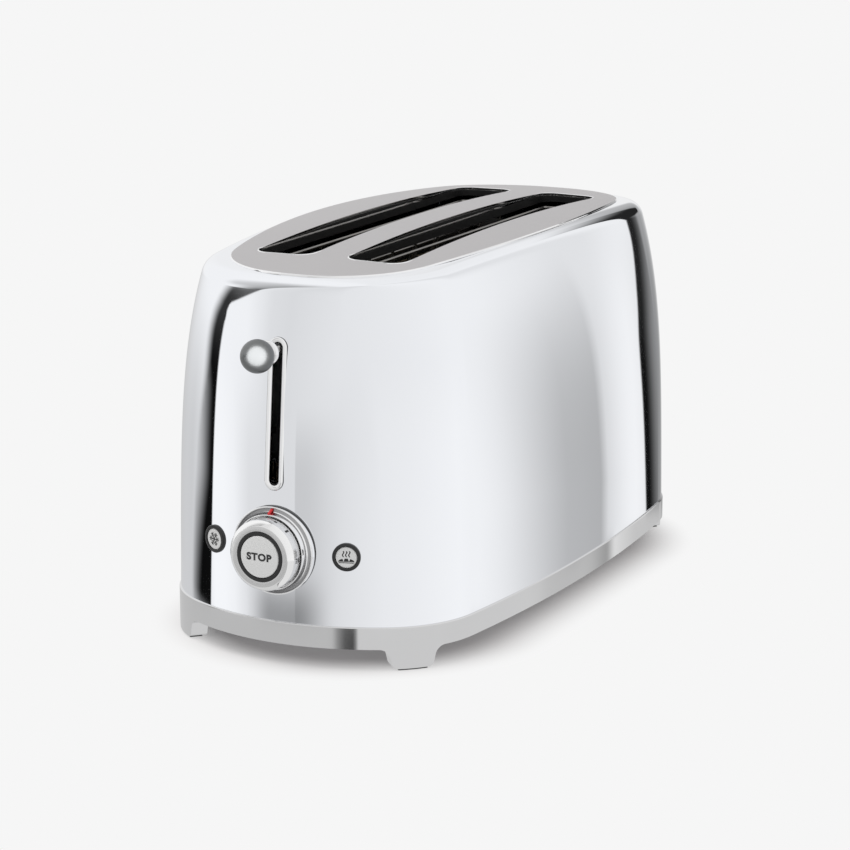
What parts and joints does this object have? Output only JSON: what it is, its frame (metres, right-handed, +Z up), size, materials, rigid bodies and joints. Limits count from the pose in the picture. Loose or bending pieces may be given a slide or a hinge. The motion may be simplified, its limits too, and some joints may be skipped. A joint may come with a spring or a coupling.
{
  "type": "retro toaster",
  "caption": "Long polished toaster with rounded ends, two bread slots side by side, a ball lever, a turning browning dial with a stop button, side buttons and a crumb tray.",
  "frame": {"origin": "on the standing surface, midway between the four feet, at the middle of the body; the lever ball stands out further in front", "axes": "+Z up; -Y is the control end with lever and dial; +Y along the length to the crumb tray end; +X to the right seen from the control end"},
  "size_m": [0.1922, 0.4, 0.2132],
  "materials": {
    "polished_steel": "mirror polished steel",
    "brushed_steel": "fine satin",
    "satin_metal": "satin",
    "white_button": "light satin",
    "black_plastic": "black",
    "red_mark": "red",
    "rubber": "grey rubber",
    "zinc_sheet": "zinc-plated sheet",
    "steel_wire": "bright wire",
    "mica": "dull mica board",
    "heater_alloy": "dark resistance ribbon",
    "iron": "plain iron",
    "copper_winding": "enamelled copper wire",
    "circuit_board": "green laminate"
  },
  "bodies": {
    "housing": {"base_ring": "polished_steel", "board_bracket": "zinc_sheet", "body_shell": "polished_steel", "bottom_cover": "zinc_sheet", "chassis_front": "zinc_sheet", "chassis_rear": "zinc_sheet", "control_board": "circuit_board", "cord_cleats": "black_plastic", "cord_gland": "black_plastic", "cover_screws": "steel_wire", "defrost_ring": "black_plastic", "dial_bezel": "polished_steel", "foot_pads": "rubber", "guide_rods": "steel_wire", "heat_shield_left": "zinc_sheet", "heat_shield_right": "zinc_sheet", "heater_board_left": "mica", "heater_board_middle": "mica", "heater_board_right": "mica", "heater_ribbon_left": "heater_alloy", "heater_ribbon_middle": "heater_alloy", "heater_ribbon_right": "heater_alloy", "lever_slot_trim": "polished_steel", "magnet_bracket": "zinc_sheet", "magnet_coil": "copper_winding", "magnet_core": "iron", "pointer_mark": "red_mark", "push_switches": "black_plastic", "return_springs": "steel_wire", "rotary_sensor": "black_plastic", "terminal_block": "black_plastic", "top_plate": "brushed_steel", "warming_ring": "black_plastic"},
    "carriage": {"carriage": "zinc_sheet", "lever_stem": "steel_wire", "lever_ball": "satin_metal", "lever_collar": "satin_metal", "armature": "iron", "bread_rack_left": "steel_wire", "bread_rack_right": "steel_wire"},
    "guide_left_inner": {"bread_guide_left_inner": "steel_wire"},
    "guide_left_outer": {"bread_guide_left_outer": "steel_wire"},
    "guide_right_inner": {"bread_guide_right_inner": "steel_wire"},
    "guide_right_outer": {"bread_guide_right_outer": "steel_wire"},
    "browning_dial": {"browning_knob": "satin_metal", "stop_ring": "black_plastic"},
    "stop_button": {"stop_button": "white_button"},
    "defrost_button": {"defrost_button": "white_button"},
    "warming_button": {"warming_button": "white_button"},
    "crumb_drawer": {"crumb_tray": "zinc_sheet", "crumb_tray_front": "polished_steel"}
  },
  "joints": [
    {"name": "carriage_slide", "type": "slide", "parent": "housing", "child": "carriage", "axis": [0, 0, -1], "range_m": [0, 0.068], "stiffness_N_per_m": 50, "springref_m": -0.09, "deforming": ["return_springs"]},
    {"name": "guide_left_inner_slide", "type": "slide", "parent": "housing", "child": "guide_left_inner", "axis": [-1, 0, 0], "range_m": [0, 0.0065]},
    {"name": "guide_left_outer_slide", "type": "slide", "parent": "housing", "child": "guide_left_outer", "axis": [1, 0, 0], "range_m": [0, 0.0065]},
    {"name": "guide_right_inner_slide", "type": "slide", "parent": "housing", "child": "guide_right_inner", "axis": [1, 0, 0], "range_m": [0, 0.0065]},
    {"name": "guide_right_outer_slide", "type": "slide", "parent": "housing", "child": "guide_right_outer", "axis": [-1, 0, 0], "range_m": [0, 0.0065]},
    {"name": "browning_turn", "type": "hinge", "parent": "housing", "child": "browning_dial", "pos_m": [0, -0.18757, 0.0624], "axis": [0, -1, 0], "range_deg": [-30, 240]},
    {"name": "stop_push", "type": "slide", "parent": "browning_dial", "child": "stop_button", "axis": [0, 1, 0], "range_m": [0, 0.002], "stiffness_N_per_m": 400, "springref_m": -0.001},
    {"name": "defrost_push", "type": "slide", "parent": "housing", "child": "defrost_button", "axis": [0.3319, 0.9433, 0], "range_m": [0, 0.0015], "stiffness_N_per_m": 400, "springref_m": -0.001},
    {"name": "warming_push", "type": "slide", "parent": "housing", "child": "warming_button", "axis": [-0.3319, 0.9433, 0], "range_m": [0, 0.0015], "stiffness_N_per_m": 400, "springref_m": -0.001},
    {"name": "crumb_tray_slide", "type": "slide", "parent": "housing", "child": "crumb_drawer", "axis": [0, 1, 0], "range_m": [0, 0.24]}
  ],
  "couplings": [
    {"joint": "guide_left_inner_slide", "follows": "carriage_slide", "ratio": 0.0955},
    {"joint": "guide_left_outer_slide", "follows": "carriage_slide", "ratio": 0.0955},
    {"joint": "guide_right_inner_slide", "follows": "carriage_slide", "ratio": 0.0955},
    {"joint": "guide_right_outer_slide", "follows": "carriage_slide", "ratio": 0.0955}
  ]
}
